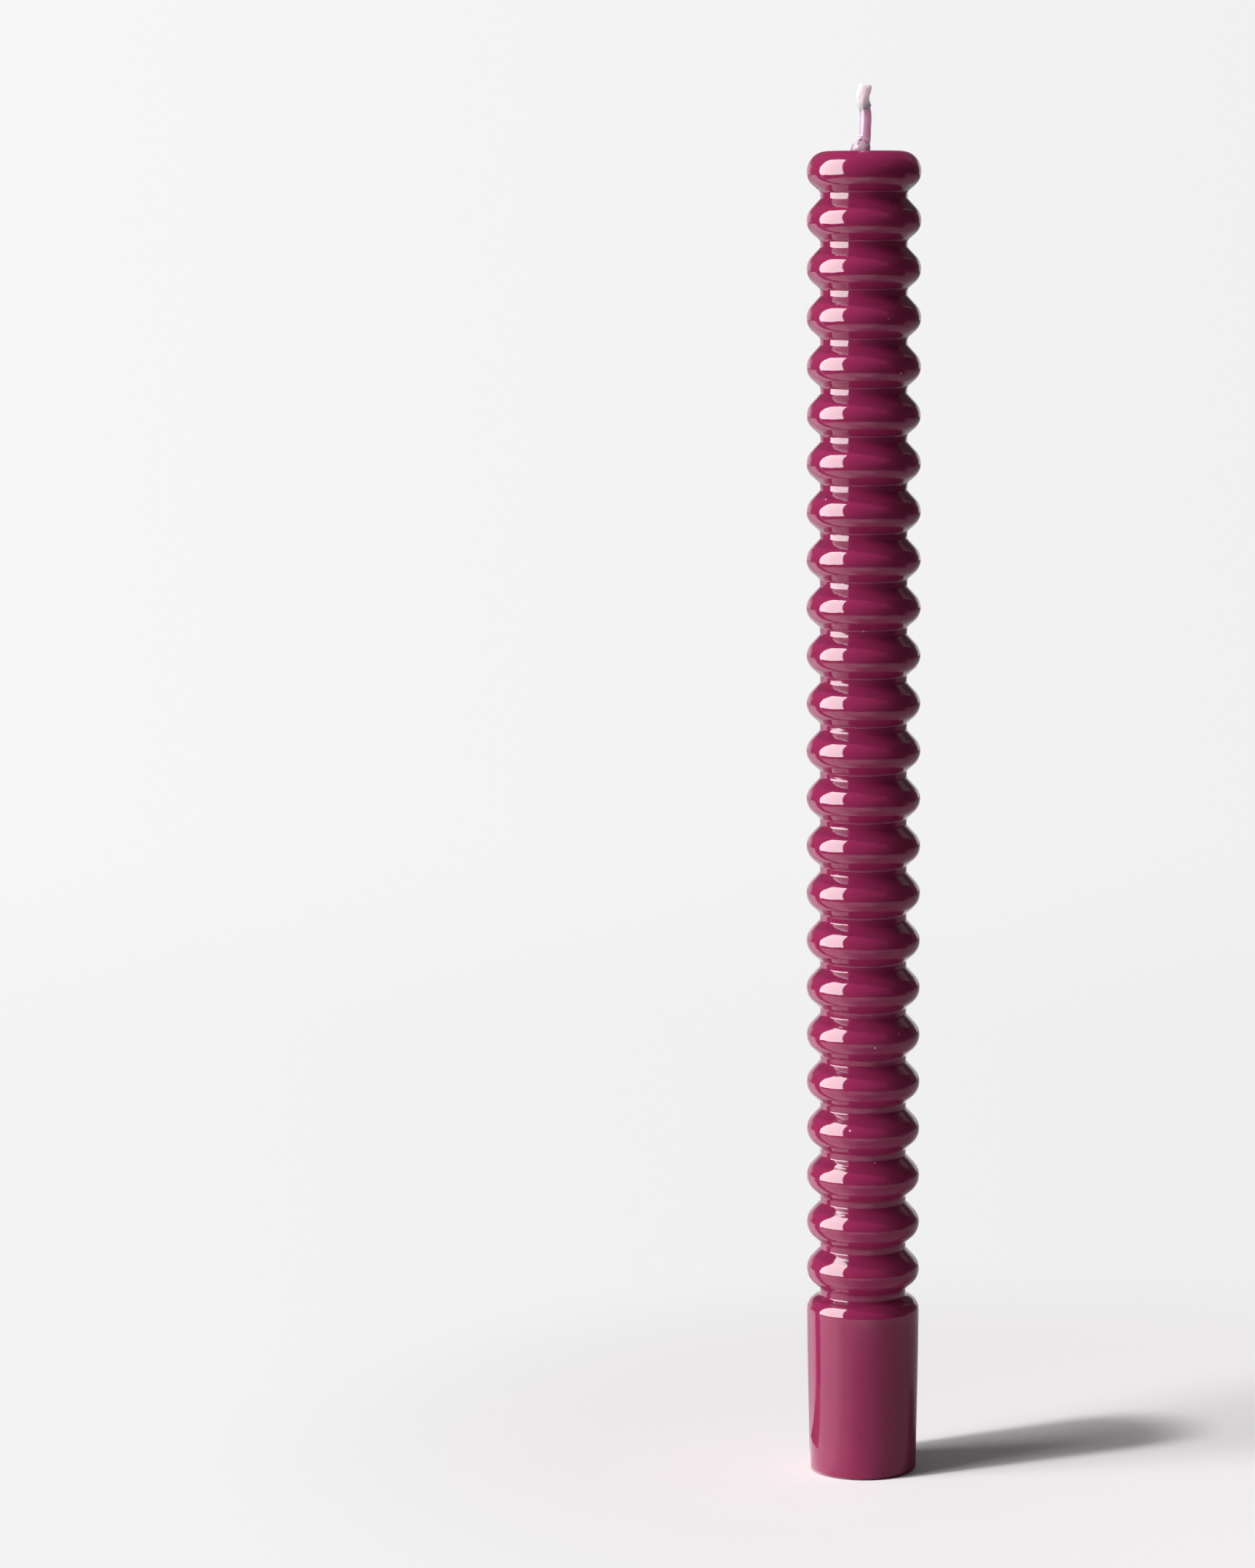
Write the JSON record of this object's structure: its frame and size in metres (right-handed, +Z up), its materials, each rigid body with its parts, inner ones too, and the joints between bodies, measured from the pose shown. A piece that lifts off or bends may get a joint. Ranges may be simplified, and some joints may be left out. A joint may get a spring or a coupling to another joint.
{
  "type": "textured taper candle",
  "caption": "Free-standing dinner taper: a wax rod with rounded ribs turned all round it above a smooth, slightly tapered foot, with a waxed cotton wick standing out of its flat top.",
  "frame": {"origin": "centre of the foot's flat face, on the candle's axis", "axes": "+Z up along the candle's axis, from the foot to the wick"},
  "size_m": [0.022, 0.022, 0.2697],
  "materials": {
    "core_wax": "pale pressed wax, matt where the foot is trimmed",
    "coat_wax": "raspberry coloured wax, dipped and glossy",
    "wick_cotton": "braided cotton, pale and fuzzy at its bare tip",
    "sleeve_wax": "thin pink wax, glossy and see-through, flaky at its foot"
  },
  "bodies": {
    "root": {"wax_core": "core_wax", "colour_coat": "coat_wax", "wick": "wick_cotton", "wick_sleeve": "sleeve_wax"}
  },
  "joints": []
}
